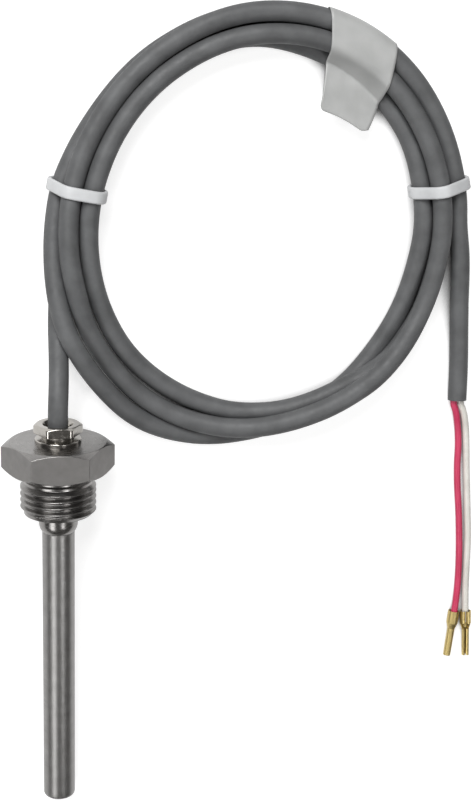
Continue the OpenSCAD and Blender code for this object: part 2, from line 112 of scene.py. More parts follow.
# Each turn: direction in degrees, distance from the middle, height.
TURNS = [
    [
        (176, 49.5, 3.4), (170, 49, 3.95), (163, 48.3, 3.9), (155, 47.5, 3.2), (146, 47.1, 2.75),
        (135, 47.4, 2.75), (120, 48.5, 2.75), (90, 50.8, 2.75), (75, 50.3, 2.75), (60, 50, 2.9),
        (45, 49.5, 3.6), (30, 49.1, 4.7), (15, 48, 5.9), (0, 47.5, 6.5), (345, 47.4, 5.4),
        (330, 48.7, 3.6), (315, 50.5, 2.75), (300, 53.2, 2.75), (285, 55.8, 2.75),
        (270, 58.8, 2.75), (255, 62, 2.8), (240, 63.5, 4.8), (225, 61.9, 8.7), (217, 61, 11.2),
        (211, 60.5, 11.8), (205, 59.7, 11), (198, 58.4, 9.4), (190, 57, 7.7),
    ],
    [
        (180, 55.7, 5.7), (170, 54.8, 4.1), (160, 53.6, 3.3), (150, 52.8, 2.75), (120, 54, 2.75),
        (90, 56.8, 2.75), (60, 56.2, 2.75), (30, 54.5, 2.9), (12, 53, 3.95), (0, 52.5, 3.95),
        (345, 53, 3.5), (337, 53.8, 3.6), (330, 54.2, 4.3), (322, 54.1, 5.9), (315, 54, 7.2),
        (307, 53.1, 8.2), (300, 52.3, 8.3), (292, 52.3, 8), (285, 52.6, 7.5), (278, 53, 6.5),
        (270, 53.3, 4.8), (262, 53.3, 3.9), (255, 52.9, 3.1), (240, 51.9, 2.75), (225, 50.7, 4),
        (210, 49, 6), (195, 47.6, 8),
    ],
    [
        (180, 46.6, 8.5), (170, 46.2, 8.9), (160, 46, 8.9), (150, 46.1, 8.4), (120, 47.9, 8.25),
        (90, 51.2, 8.25), (60, 53.4, 8.25), (45, 53.3, 8.6), (30, 52.7, 9.5), (12, 52.1, 10.3),
        (0, 52, 10.3), (345, 52.2, 9.5), (330, 52.9, 9.8), (322, 53.2, 11.4), (315, 53.5, 12.6),
        (307, 53.8, 13.7), (300, 54, 13.5), (292, 54.5, 13.1), (285, 55, 12.5),
        (278, 55.8, 11.3), (270, 56.9, 9.2), (262, 57.6, 7.6), (255, 57.9, 6.5), (240, 57.8, 5),
        (225, 56.4, 6.2), (210, 54.7, 9), (200, 53.4, 11.4), (190, 52.7, 11.4),
    ],
    [
        (180, 52.1, 10.3), (170, 51.8, 9.2), (150, 51.6, 8.4), (120, 53.6, 8.25),
        (90, 57.2, 8.25), (60, 58.9, 8.25), (45, 58.7, 8.1), (30, 58, 7.7), (15, 57.5, 7.2),
        (0, 57.5, 6.4),
    ],
]


def smooth_through(knots, at):
    """Values at the given places on a smooth line through the knots."""
    x = knots[:, 0]
    slope = np.gradient(knots[:, 1:], x, axis=0)
    i = np.clip(np.searchsorted(x, at) - 1, 0, len(x) - 2)
    width = x[i + 1] - x[i]
    t = ((at - x[i]) / width)[:, None]
    width = width[:, None]
    return (
        (2 * t**3 - 3 * t**2 + 1) * knots[i, 1:]
        + (t**3 - 2 * t**2 + t) * width * slope[i]
        + (3 * t**2 - 2 * t**3) * knots[i + 1, 1:]
        + (t**3 - t**2) * width * slope[i + 1]
    )


def gone_along(line):
    """How far along a line each of its points lies."""
    return np.concatenate([[0], np.cumsum(np.linalg.norm(np.diff(line, axis=0), axis=1))])


def resampled(route, step):
    """The same smooth line with points at an even distance."""
    route = np.array([tuple(p) for p in route], float)
    gone = gone_along(route)
    count = int(gone[-1] / step) + 1
    knots = np.column_stack([gone, route])
    return smooth_through(knots, np.linspace(0, gone[-1], count))


# Each station of the turns, by the degrees that are wound before it.
travelled = np.array([
    (360 * turn + (180 - direction) % 360, distance, height)
    for turn, stations in enumerate(TURNS)
    for direction, distance, height in stations
], float)


def coil_at(travel):
    """Distance from the middle and height of the strand after so many degrees of winding."""
    return smooth_through(travelled, np.atleast_1d(np.asarray(travel, float)))


wound = np.arange(travelled[0, 0], travelled[-1, 0] + 1, TURN_STEP)
lie = coil_at(wound)
bearing = np.radians(180 - wound)
coil_route = np.column_stack([
    COIL_MIDDLE[0] + lie[:, 0] * np.cos(bearing),
    COIL_MIDDLE[1] + lie[:, 0] * np.sin(bearing),
    lie[:, 1],
])
cable_route = resampled(
    [cable_exit, cable_exit + GLAND_STRAIGHT * probe_way]
    + [(x, face_y + y, z) for x, y, z in LEAD_ROUTE]
    + [tuple(p) for p in coil_route]
    + [(x, face_y + y, z) for x, y, z in TAIL_ROUTE],
    CABLE_STEP,
)


def cord_curve(name, route, diameter, steps=8):
    """A round cord on an open line of points in millimetres; the steps round off its section."""
    curve = bpy.data.curves.new(name, "CURVE")
    curve.dimensions = "3D"
    curve.bevel_depth = diameter / 2 * MM
    curve.bevel_resolution = steps
    curve.use_fill_caps = True
    line = curve.splines.new("POLY")
    line.points.add(len(route) - 1)
    line.points.foreach_set("co", np.column_stack([route * MM, np.ones(len(route))]).ravel())
    line.use_smooth = True
    cord = bpy.data.objects.new(name, curve)
    bpy.context.scene.collection.objects.link(cord)
    return cord


def new_material(name, base, roughness, metallic=0.0):
    """A Principled material with its shader node and its tree."""
    material = bpy.data.materials.new(name)
    material.use_nodes = True
    tree = material.node_tree
    shader = tree.nodes["Principled BSDF"]
    shader.inputs["Base Color"].default_value = (*base, 1)
    shader.inputs["Roughness"].default_value = roughness
    shader.inputs["Metallic"].default_value = metallic
    return material, tree, shader


def noise_on(tree, space, scale, stretch=(1, 1, 1), detail=3.0):
    """Noise in the chosen texture space: Object, in metres, or UV, which is in millimetres."""
    place = tree.nodes.new("ShaderNodeTexCoord")
    mapping = tree.nodes.new("ShaderNodeMapping")
    mapping.inputs["Scale"].default_value = stretch
    noise = tree.nodes.new("ShaderNodeTexNoise")
    noise.inputs["Scale"].default_value = scale
    noise.inputs["Detail"].default_value = detail
    tree.links.new(place.outputs[space], mapping.inputs["Vector"])
    tree.links.new(mapping.outputs["Vector"], noise.inputs["Vector"])
    return noise.outputs["Fac"]


def ranged(tree, value, low, high, from_low=0.3, from_high=0.7):
    """The value brought to a range; the limits taken by default suit a noise."""
    node = tree.nodes.new("ShaderNodeMapRange")
    node.inputs["From Min"].default_value = from_low
    node.inputs["From Max"].default_value = from_high
    node.inputs["To Min"].default_value = low
    node.inputs["To Max"].default_value = high
    tree.links.new(value, node.inputs["Value"])
    return node.outputs["Result"]


def tinted(tree, value, dark, light):
    """A colour between two colours."""
    node = tree.nodes.new("ShaderNodeMix")
    node.data_type = "RGBA"
    node.inputs["A"].default_value = (*dark, 1)
    node.inputs["B"].default_value = (*light, 1)
    tree.links.new(value, node.inputs["Factor"])
    return node.outputs["Result"]


def bumped(tree, shader, height, strength, distance):
    """Fine relief on top of any that is there; the distance is in millimetres."""
    node = tree.nodes.new("ShaderNodeBump")
    node.inputs["Strength"].default_value = strength
    node.inputs["Distance"].default_value = distance * MM
    tree.links.new(height, node.inputs["Height"])
    previous = shader.inputs["Normal"].links
    if previous:
        tree.links.new(previous[0].from_socket, node.inputs["Normal"])
    tree.links.new(node.outputs["Normal"], shader.inputs["Normal"])


def darker(colour, share):
    """A colour at a share of its brightness."""
    return tuple(c * share for c in colour)


def clouded(tree, shader, scale, dark, light):
    """Colour that drifts between two tones with a noise, which is given back."""
    cloud = noise_on(tree, "Object", scale)
    tree.links.new(tinted(tree, ranged(tree, cloud, 0, 1), dark, light), shader.inputs["Base Color"])
    return cloud


def uneven_gloss(tree, shader, noise, smooth, rough):
    """Roughness that follows a noise from smooth to rough."""
    tree.links.new(ranged(tree, noise, smooth, rough), shader.inputs["Roughness"])


def soft_plastic(name, dark, light, roughness):
    """Extruded plastic: slightly cloudy colour, satin skin, faint waves and a fine grain."""
    material, tree, shader = new_material(name, light, roughness)
    clouded(tree, shader, scale=160, dark=dark, light=light)
    scuff = noise_on(tree, "Object", scale=700, detail=4)
    uneven_gloss(tree, shader, scuff, roughness - 0.06, roughness + 0.1)
    waves = noise_on(tree, "Object", scale=260)
    bumped(tree, shader, waves, strength=0.25, distance=0.25)
    grain = noise_on(tree, "Object", scale=2600, detail=2)
    bumped(tree, shader, grain, strength=0.15, distance=0.03)
    return material


jacket_grey = soft_plastic(
    "jacket_grey", (0.08, 0.082, 0.084), (0.118, 0.121, 0.124), roughness=0.56
)
cable = cord_curve("cable", cable_route, CABLE_D)
cable.data.materials.append(jacket_grey)
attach(cable, "root")
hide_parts("cable_lead", "cable_coil", "cable_tail")


# ---------------------------------------------------------------- cores
# Two insulated cores come out of the stripped end of the jacket and lie
# nearly straight beside the probe, one red and one white.
CORE_D = 2.0
CORE_PITCH = 2.1
CORE_STEP = 1.5
GRIP_LEAD = 2
GRIP_INSERT = 3.4
# Each core: its side in the jacket, its route as for the cable, the mouth and
# the turn of its contact, how far aside and how high in the grip it lies, and
# its two tones.
CORES = {
    "red": dict(
        side=-1,
        route=[
            (115.9, 13, 2.5), (117.1, 8.5, 1.3), (117.7, 3, 1), (117.7, -4, 1), (118, -10, 1),
            (118.7, -17.5, 1), (119.2, -25, 1), (119.5, -34, 1), (119.3, -42, 1.2),
        ],
        mouth=(118.5, -49.0),
        turn=-6.9,
        in_grip=(0.0, 1.725),
        dark=(0.50, 0.025, 0.085),
        light=(0.62, 0.045, 0.125),
    ),
    "white": dict(
        side=1,
        route=[
            (118.2, 13, 2.5), (119.5, 8.5, 1.3), (120.1, 3, 1), (120.5, -4.5, 1), (121, -12, 1),
            (121.5, -19.5, 1), (121.9, -27, 1), (121.9, -36, 1), (121.9, -43, 1.1),
        ],
        mouth=(122.0, -49.0),
        turn=2.3,
        in_grip=(0.057, 1.375),
        dark=(0.62, 0.60, 0.55),
        light=(0.74, 0.72, 0.67),
    ),
}
jacket_end = Vector(cable_route[-1])
for tone, lies in CORES.items():
    start = jacket_end + Vector((lies["side"] * CORE_PITCH / 2, 0, 0))
    turn = math.radians(lies["turn"])
    aside, height = lies["in_grip"]
    into = [
        (
            lies["mouth"][0] + depth * math.sin(turn) + aside,
            face_y + lies["mouth"][1] - depth * math.cos(turn),
            height,
        )
        for depth in (-GRIP_LEAD, 0, GRIP_INSERT)
    ]
    straight = start - Vector((0, CORE_D / 2, 0))
    beside = [(x, face_y + y, z) for x, y, z in lies["route"]]
    route = resampled([start, straight] + beside + into, CORE_STEP)
    core = cord_curve(f"core_{tone}_insulation", route, CORE_D, steps=5)
    pvc = soft_plastic(f"core_{tone}_pvc", lies["dark"], lies["light"], roughness=0.38)
    core.data.materials.append(pvc)
    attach(core, "root")
    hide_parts(f"core_{tone}")


# ---------------------------------------------------------------- wire ties
# Two plastic coated ties hold the turns together. Each is pulled tight round
# the strands, so it follows the outline of the bundle at its own place.
TIE_W = 3.4
TIE_T = 1.2
TIE_CORNER = 0.5
TIE_CLEAR = 0.03
TIE_LEAN = 1.0
# Directions of the two ties from the middle of the coil, in degrees.
TIES = {"left": 169.6, "right": 11.6}


def strands_at(direction):
    """Centres of all the strands that pass in one direction from the middle."""
    first = (180 - direction) % 360
    laps = [first + 360 * turn for turn in range(len(TURNS))]
    return coil_at([lap for lap in laps if travelled[0, 0] <= lap <= travelled[-1, 0]])


def bundle_outline(direction, clear, count=96, dots_each=48):
    """Closed taut line round the strands, clear of them by so many millimetres."""
    around = np.linspace(0, 2 * math.pi, dots_each, endpoint=False)
    reach = CABLE_D / 2 + clear
    dots = np.concatenate([
        centre + reach * np.column_stack([np.cos(around), np.sin(around)])
        for centre in strands_at(direction)
    ])
    dots = dots[np.lexsort((dots[:, 1], dots[:, 0]))]

    def half(points):
        """One side of the hull, through points that are in order from left to right or back."""
        chain = []
        for p in points:
            while len(chain) > 1:
                (ax, ay), (bx, by) = chain[-2], chain[-1]
                if (bx - ax) * (p[1] - ay) - (by - ay) * (p[0] - ax) > 0:
                    break
                chain.pop()
            chain.append(p)
        return chain[:-1]

    hull = np.array(half(dots) + half(dots[::-1]))
    hull = np.vstack([hull, hull[:1]])
    gone = gone_along(hull)
    at = np.linspace(0, gone[-1], count, endpoint=False)
    return np.column_stack([np.interp(at, gone, hull[:, k]) for k in (0, 1)])


def on_coil(direction, distance, height, aside=0.0):
    """A point given by its direction from the middle, its distance and its height."""
    a = math.radians(direction)
    return (
        COIL_MIDDLE[0] + distance * math.cos(a) - aside * math.sin(a),
        COIL_MIDDLE[1] + distance * math.sin(a) + aside * math.cos(a),
        height,
    )


def mesh_piece(name, points, faces, smooth_angle):
    """A mesh object in the units of its points, smooth but for its edges."""
    mesh = bpy.data.meshes.new(name)
    mesh.from_pydata([tuple(p) for p in points], [], faces)
    mesh.update()
    mesh.shade_smooth()
    mesh.set_sharp_from_angle(angle=math.radians(smooth_angle))
    piece = bpy.data.objects.new(name, mesh)
    bpy.context.scene.collection.objects.link(piece)
    return piece


def closed_band_faces(rings, corners):
    """Faces of a band whose rings and sections both close on themselves."""
    return [
        (
            i * corners + j,
            i * corners + (j + 1) % corners,
            (i + 1) % rings * corners + (j + 1) % corners,
            (i + 1) % rings * corners + j,
        )
        for i in range(rings)
        for j in range(corners)
    ]


def rounded_section(width, thick, corner, steps=4):
    """Section of a band: points across and outward, from its lower right corner."""
    points = []
    for across, outward, begin in ((1, -1, -90), (1, 1, 0), (-1, 1, 90), (-1, -1, 180)):
        for k in range(steps + 1):
            a = math.radians(begin + 90 * k / steps)
            points.append((
                across * (width / 2 - corner) + corner * math.cos(a),
                outward * (thick / 2 - corner) + corner * math.sin(a),
            ))
    return points


tie_plastic = soft_plastic("tie_plastic", (0.54, 0.55, 0.56), (0.64, 0.65, 0.66), roughness=0.42)
for side, direction in TIES.items():
    line = bundle_outline(direction, TIE_T / 2 + TIE_CLEAR)
    line[:, 1] = np.maximum(line[:, 1], TIE_T / 2)
    ahead = np.roll(line, -1, axis=0) - np.roll(line, 1, axis=0)
    ahead /= np.linalg.norm(ahead, axis=1)[:, None]
    section = rounded_section(TIE_W, TIE_T, TIE_CORNER)
    middle = (line[:, 1].max() + line[:, 1].min()) / 2
    lean = math.copysign(TIE_LEAN, direction - 90) / middle
    points = [
        on_coil(direction, r + out * way[1], z - out * way[0], across + lean * (z - middle))
        for (r, z), way in zip(line, ahead)
        for across, out in section
    ]
    faces = closed_band_faces(len(line), len(section))
    tie = mesh_piece(f"tie_{side}_band", np.array(points) * MM, faces, smooth_angle=60)
    tie.data.materials.append(tie_plastic)
    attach(tie, "root")
    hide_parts(f"tie_{side}")


# ---------------------------------------------------------------- label
# A strip of thin grey film is folded round the outside of the coil. It
# drapes over the strands and comes back under them, and both its ends stand
# free inside the coil. The leaf below is a little shorter and turned.
LABEL_T = 0.2
LABEL_CLEAR = 0.35
LABEL_LOW = 0.3
# Directions of the two sides of the film, outside the coil and inside it, and
# the distance from the middle at which each side ends.
LABEL_OUTER = (53.0, 72.7)
LABEL_INNER = (40.7, 62.9)
LABEL_END_R = (38.6, 35.4)
# Near its sides the film ends further out, so that its corners are round.
LABEL_CORNER = 1.4
LABEL_CORNER_SHARE = 0.18
# The free end above hangs down to a height along a power curve.
LABEL_END_Z = 8.0
LABEL_END_CURVE = 1.6
# Below this bearing from the middle of the strands the fold falls straight.
LABEL_FOLD = -0.4
LABEL_UNDER_TURN = -1.8
LABEL_UNDER_SHORT = 3.5
LABEL_UNDER_RISE = 1.5
LABEL_UNDER_CURVE = 6
LABEL_COLUMNS = 28
LABEL_ROWS = 110


def between(first, last, share):
    """The value that lies at a share of the way from the first to the last."""
    return first + (last - first) * share


def label_line(direction, end_r):
    """Section of the film in one direction: distance, height and turn, from end to end."""
    ring = bundle_outline(direction, LABEL_CLEAR, count=160)
    outer = ring[:, 0].max()
    middle = ring.mean(axis=0)
    bearing = np.arctan2(ring[:, 1] - middle[1], ring[:, 0] - middle[0])
    kept = (ring[:, 1] > middle[1]) | ((ring[:, 0] > middle[0]) & (bearing > LABEL_FOLD))
    top = ring[kept][np.argsort(-bearing[kept])]
    inner, lip = top[0]
    foot = top[-1, 1]
    back = end_r + LABEL_UNDER_SHORT
    flap = [
        (between(end_r, inner, t), between(LABEL_END_Z, lip, t**LABEL_END_CURVE), 0)
        for t in np.arange(10) / 10
    ]
    over = [(r, z, 0) for r, z in top]
    fold = [(outer, between(foot, LABEL_LOW, t), 0) for t in np.arange(1, 9) / 8]
    under = [
        (
            between(outer, back, t),
            LABEL_LOW + LABEL_UNDER_RISE * t**LABEL_UNDER_CURVE,
            LABEL_UNDER_TURN * t,
        )
        for t in np.arange(1, 13) / 12
    ]
    path = np.array(flap + over + fold + under)
    gone = gone_along(path)
    at = np.linspace(0, gone[-1], LABEL_ROWS)
    return np.column_stack([np.interp(at, gone, path[:, k]) for k in range(3)])


def label_finish():
    """Grey plastic film: a hazy colour and soft buckles."""
    material, tree, shader = new_material("label_film", (0.44, 0.445, 0.44), roughness=0.4)
    clouded(tree, shader, scale=120, dark=(0.36, 0.365, 0.36), light=(0.44, 0.445, 0.44))
    buckles = noise_on(tree, "Object", scale=220, detail=2)
    bumped(tree, shader, buckles, strength=0.4, distance=0.3)
    return material


shares = np.arange(LABEL_COLUMNS) / (LABEL_COLUMNS - 1)
lines = []
for share in shares:
    off = abs(share - 0.5) * 2
    edge = min(max((off - 1 + LABEL_CORNER_SHARE) / LABEL_CORNER_SHARE, 0), 1)
    end_r = between(*LABEL_END_R, share) + LABEL_CORNER * (1 - math.sqrt(1 - edge * edge))
    inside = label_line(between(*LABEL_INNER, share), end_r)
    outside = label_line(between(*LABEL_OUTER, share), end_r)
    lean = np.clip((outside[:, 0:1] - end_r) / (outside[:, 0].max() - end_r), 0, 1)
    lines.append(between(inside, outside, lean))
# The film is too stiff to follow each strand from column to column.
draped = np.array(lines)
for _ in range(2):
    draped[1:-1] = (draped[:-2] + 2 * draped[1:-1] + draped[2:]) / 4
points = []
for share, line in zip(shares, draped):
    start_r, far_r = line[0, 0], line[:, 0].max()
    inner_way, outer_way = between(*LABEL_INNER, share), between(*LABEL_OUTER, share)
    for r, z, turn in line:
        lean = (r - start_r) / (far_r - start_r)
        points.append(on_coil(between(inner_way, outer_way, lean) + turn, r, z))
faces = [
    (k, k + 1, k + LABEL_ROWS + 1, k + LABEL_ROWS)
    for first in range(0, (LABEL_COLUMNS - 1) * LABEL_ROWS, LABEL_ROWS)
    for k in range(first, first + LABEL_ROWS - 1)
]
label = mesh_piece("label_film", np.array(points) * MM, faces, smooth_angle=80)
solid = label.modifiers.new("thickness", "SOLIDIFY")
solid.thickness = LABEL_T * MM
solid.offset = 0
label.data.materials.append(label_finish())
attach(label, "root")
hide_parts("label_flag")


# ---------------------------------------------------------------- head of the well
# One piece turned from hexagon bar: chamfered hexagon, relief groove, G 1/2
# thread, and the collar that carries the tube. The grooves of the thread are
# cut by a Geometry Nodes tree into the plain turned blank.
HEX_H = 8.4
HEX_EDGE_ROUND = 0.35
THREAD_R = 20.955 / 2
THREAD_PITCH = 25.4 / 14
THREAD_DEPTH = 1.162
THREAD_START = -4.0
THREAD_END_GAP = 0.02
THREAD_FIRST_CREST = -4.12
THREAD_RUN_OUT = 1.0
THREAD_CREST_POWER = 0.8
THREAD_ROWS = 150
RELIEF_W = 4.15
RELIEF_DEPTH = 1.05
RELIEF_STEP_W = 1.95
RELIEF_STEP = 0.45
STUB_LENGTH = 12.0
THREAD_CHAMFER = 1.05
COLLAR_R = 5.4
COLLAR_LENGTH = 3.0
COLLAR_ROUND = 2.6
COLLAR_LIP = 0.2
SPIGOT_R = TUBE_R - 0.25
FIT = 0.05
GLAND_HOLE_R = 5.3
GLAND_HOLE_END = -1.3
PASSAGE_R = 3.75
TUBE_SEAT = 4.0
SHARP_ANGLE = 28
face_circle_r = HEX_FLATS / 2 - HEX_RIM


def corner_angles(step=2.0, fine=(0, 0.12, 0.25, 0.38, 0.5, 0.65, 1.0)):
    """Directions round a hexagonal piece, closer together at its corners."""
    angles = set(np.round(np.arange(0, 360, step), 3))
    for corner in range(0, 360, 60):
        for a in fine:
            angles |= {round((corner + a) % 360, 3), round((corner - a) % 360, 3)}
    return np.radians(sorted(angles))


def hexagon_r(angles, flats, edge_round):
    """Distance to the side of a hexagon with rounded corners, the first of them at angle 0."""
    half_face = math.radians(30)
    off_corner = np.radians(np.abs((np.degrees(angles) + 30) % 60 - 30))
    side = flats / 2 / np.cos(half_face - off_corner)
    hub = (flats / 2 - edge_round) / math.cos(half_face)
    under = np.maximum(edge_round**2 - (hub * np.sin(off_corner)) ** 2, 0)
    arc = hub * np.cos(off_corner) + np.sqrt(under)
    arc_end = edge_round * math.sin(half_face) / (hub + edge_round * math.cos(half_face))
    return np.where(np.tan(off_corner) < arc_end, np.minimum(arc, side), side)


def turned(name, rows, angles, spin=0.0, edge=0.0):
    """A turned piece: each row is a radius and a height, either of them a list round the axis.

    Its UV map runs in millimetres round the axis and along the outline.
    """
    count = len(angles)
    grid = np.array([
        np.column_stack([np.broadcast_to(r, count), np.broadcast_to(a, count)]) for r, a in rows
    ])
    turn = angles + spin
    points = np.stack([
        grid[:, :, 0] * np.cos(turn), grid[:, :, 0] * np.sin(turn), grid[:, :, 1]
    ], axis=-1).reshape(-1, 3)
    outline = grid.mean(axis=1)
    along = gone_along(np.vstack([outline, outline[:1]]))
    sweep = np.append(angles, 2 * math.pi) * grid[:, :, 0].max()
    faces = []
    uvs = []
    for i in range(len(rows)):
        m = (i + 1) % len(rows)
        for j in range(count):
            k = (j + 1) % count
            faces.append((i * count + j, i * count + k, m * count + k, m * count + j))
            left, far = sweep[j], sweep[j + 1]
            uvs += [(left, along[i]), (far, along[i]), (far, along[i + 1]), (left, along[i + 1])]
    piece = mesh_piece(name, points, faces, smooth_angle=SHARP_ANGLE)
    layer = piece.data.uv_layers.new(name="turned")
    layer.data.foreach_set("uv", np.array(uvs, dtype=np.float32).ravel())
    if edge:
        bevel = piece.modifiers.new("edges", "BEVEL")
        bevel.width = edge
        bevel.segments = 2
        bevel.limit_method = "ANGLE"
        bevel.angle_limit = math.radians(SHARP_ANGLE)
        bevel.use_clamp_overlap = True
    return piece


def fixed_in_place(piece):
    """Applies the modifiers and lays the mesh down; its object stays at the origin."""
    scene_now = bpy.context.evaluated_depsgraph_get()
    mesh = bpy.data.meshes.new_from_object(piece.evaluated_get(scene_now))
    piece.modifiers.clear()
    mesh.transform(laid)
    old = piece.data
    piece.data = mesh
    bpy.data.meshes.remove(old)
    mesh.name = piece.name
    return piece


def arc_rows(centre_r, centre_a, radius, begin, end, steps):
    """Rows along an arc, from one angle to another in degrees from the outward direction."""
    return [
        (
            centre_r + radius * math.cos(math.radians(begin + (end - begin) * k / steps)),
            centre_a + radius * math.sin(math.radians(begin + (end - begin) * k / steps)),
        )
        for k in range(steps + 1)
    ]


hex_angles = corner_angles()
hex_r = hexagon_r(hex_angles, HEX_FLATS, HEX_EDGE_ROUND)
chamfer_drop = (hex_r - face_circle_r) * math.tan(HEX_CHAMFER)
lip_r = SPIGOT_R + FIT + COLLAR_LIP
collar_fall = COLLAR_R - lip_r
collar_curve = (COLLAR_ROUND**2 + collar_fall**2) / (2 * collar_fall)
collar_sweep = math.degrees(math.asin(COLLAR_ROUND / collar_curve))
collar_end = -STUB_LENGTH - COLLAR_LENGTH
relief_r = THREAD_R - RELIEF_DEPTH
thread_rows = [
    (THREAD_R, a) for a in np.linspace(-STUB_LENGTH + THREAD_CHAMFER, -RELIEF_W, THREAD_ROWS)
]
blank_rows = (
    [(SPIGOT_R + FIT, collar_end - COLLAR_ROUND)]
    + arc_rows(COLLAR_R - collar_curve, collar_end, collar_curve, -collar_sweep, 0, steps=10)
    + [(COLLAR_R, -STUB_LENGTH), (THREAD_R - THREAD_CHAMFER, -STUB_LENGTH)]
    + thread_rows
    + [(relief_r, -RELIEF_W + RELIEF_DEPTH), (relief_r, -RELIEF_STEP_W - RELIEF_STEP)]
    + [(relief_r - RELIEF_STEP, -RELIEF_STEP_W), (relief_r - RELIEF_STEP, 0)]
    + [(face_circle_r, 0), (hex_r, chamfer_drop), (hex_r, HEX_H - chamfer_drop)]
    + [(face_circle_r, HEX_H), (GLAND_HOLE_R, HEX_H), (GLAND_HOLE_R, GLAND_HOLE_END)]
    + [(PASSAGE_R, GLAND_HOLE_END), (PASSAGE_R, -TUBE_SEAT), (SPIGOT_R + FIT, -TUBE_SEAT)]
)
head = turned("well_head_turned", blank_rows, hex_angles, edge=0.12)


def sums_in(tree):
    """A function that adds a sum on sockets or numbers to a tree of any kind."""
    def calc(operation, *values):
        node = tree.nodes.new("ShaderNodeMath")
        node.operation = operation
        for socket, value in zip(node.inputs, values):
            if isinstance(value, (int, float)):
                socket.default_value = value
            else:
                tree.links.new(value, socket)
        return node.outputs[0]

    return calc


def thread_cutter():
    """Geometry Nodes tree that sinks a helical groove into the blank of a thread."""
    tree = bpy.data.node_groups.new("cut_thread", "GeometryNodeTree")
    sockets = tree.interface
    sockets.new_socket("Geometry", in_out="INPUT", socket_type="NodeSocketGeometry")
    for size in ("Pitch", "Depth", "Crest Radius", "First Crest", "Start", "End"):
        sockets.new_socket(size, in_out="INPUT", socket_type="NodeSocketFloat")
    sockets.new_socket("Material", in_out="INPUT", socket_type="NodeSocketMaterial")
    sockets.new_socket("Geometry", in_out="OUTPUT", socket_type="NodeSocketGeometry")
    nodes, links = tree.nodes, tree.links
    given = nodes.new("NodeGroupInput").outputs
    result = nodes.new("NodeGroupOutput").inputs
    calc = sums_in(tree)

    # The rise in pitches less the turn round the axis is the place across the groove.
    where = nodes.new("ShaderNodeSeparateXYZ")
    links.new(nodes.new("GeometryNodeInputPosition").outputs[0], where.inputs[0])
    x, y, z = where.outputs
    radius = calc("SQRT", calc("ADD", calc("MULTIPLY", x, x), calc("MULTIPLY", y, y)))
    turn = calc("DIVIDE", calc("ARCTAN2", x, calc("MULTIPLY", y, -1)), 2 * math.pi)
    rise = calc("DIVIDE", calc("SUBTRACT", z, given["First Crest"]), given["Pitch"])
    wave = calc("COSINE", calc("MULTIPLY", calc("SUBTRACT", rise, turn), 2 * math.pi))
    groove = calc("POWER", calc("MULTIPLY", calc("SUBTRACT", 1, wave), 0.5), THREAD_CREST_POWER)

    # It runs out towards the start, and only the outer skin between the ends is sunk.
    fade_in = nodes.new("ShaderNodeMapRange")
    fade_in.interpolation_type = "SMOOTHSTEP"
    links.new(z, fade_in.inputs["Value"])
    links.new(given["Start"], fade_in.inputs["From Min"])
    links.new(calc("SUBTRACT", given["Start"], THREAD_RUN_OUT), fade_in.inputs["From Max"])
    sunk = calc("MULTIPLY", calc("MULTIPLY", groove, given["Depth"]), fade_in.outputs["Result"])
    target = calc("SUBTRACT", given["Crest Radius"], sunk)
    new_radius = calc("MINIMUM", radius, target)
    factor = calc("DIVIDE", new_radius, calc("MAXIMUM", radius, 0.001))
    above, below = calc("GREATER_THAN", z, given["End"]), calc("LESS_THAN", z, given["Start"])
    least = calc("SUBTRACT", given["Crest Radius"], THREAD_CHAMFER + FIT)
    outside = calc("GREATER_THAN", radius, least)
    moved = nodes.new("ShaderNodeCombineXYZ")
    links.new(calc("MULTIPLY", x, factor), moved.inputs[0])
    links.new(calc("MULTIPLY", y, factor), moved.inputs[1])
    links.new(z, moved.inputs[2])
    place = nodes.new("GeometryNodeSetPosition")
    links.new(given["Geometry"], place.inputs["Geometry"])
    links.new(calc("MULTIPLY", calc("MULTIPLY", above, below), outside), place.inputs["Selection"])
    links.new(moved.outputs[0], place.inputs["Position"])

    real = nodes.new("GeometryNodeRealizeInstances")
    links.new(place.outputs[0], real.inputs[0])
    paint = nodes.new("GeometryNodeSetMaterial")
    links.new(real.outputs[0], paint.inputs["Geometry"])
    links.new(given["Material"], paint.inputs["Material"])
    links.new(paint.outputs[0], result["Geometry"])
    return tree


def along_probe(tree, space):
    """Object coordinates or normals measured along the axis of the probe."""
    place = tree.nodes.new("ShaderNodeTexCoord")
    axis = tree.nodes.new("ShaderNodeVectorMath")
    axis.operation = "DOT_PRODUCT"
    axis.inputs[1].default_value = probe_way
    tree.links.new(place.outputs[space], axis.inputs[0])
    return axis.outputs["Value"]


def turned_steel(name, base, roughness, ring_scale):
    """Turned or ground steel: fine lines run round the axis, with a cloudy sheen over them."""
    material, tree, shader = new_material(name, base, roughness, metallic=1.0)
    lines = noise_on(tree, "UV", scale=1.0, stretch=(0.15, ring_scale, 1), detail=2)
    uneven_gloss(tree, shader, lines, roughness - 0.08, roughness + 0.12)
    clouded(tree, shader, scale=350, dark=darker(base, 0.86), light=base)
    bumped(tree, shader, lines, strength=0.25, distance=0.02)
    return material


def matte_flats(material, matte):
    """The drawn flats of the hexagon stay matte, and what was turned keeps its shine."""
    tree = material.node_tree
    gloss = tree.nodes["Principled BSDF"].inputs["Roughness"]
    calc = sums_in(tree)
    sealing_face = probe_way.dot(Vector((0, face_y, face_z))) * MM
    along = along_probe(tree, "Object")
    beyond = ranged(tree, along, 0, 1, from_low=sealing_face, from_high=sealing_face + 0.1 * MM)
    slant = calc("ABSOLUTE", along_probe(tree, "Normal"))
    sideways = ranged(tree, slant, 1, 0, from_low=0.2, from_high=0.4)
    blend = tree.nodes.new("ShaderNodeMix")
    blend.inputs["B"].default_value = matte
    tree.links.new(calc("MULTIPLY", beyond, sideways), blend.inputs["Factor"])
    tree.links.new(gloss.links[0].from_socket, blend.inputs["A"])
    tree.links.new(blend.outputs["Result"], gloss)


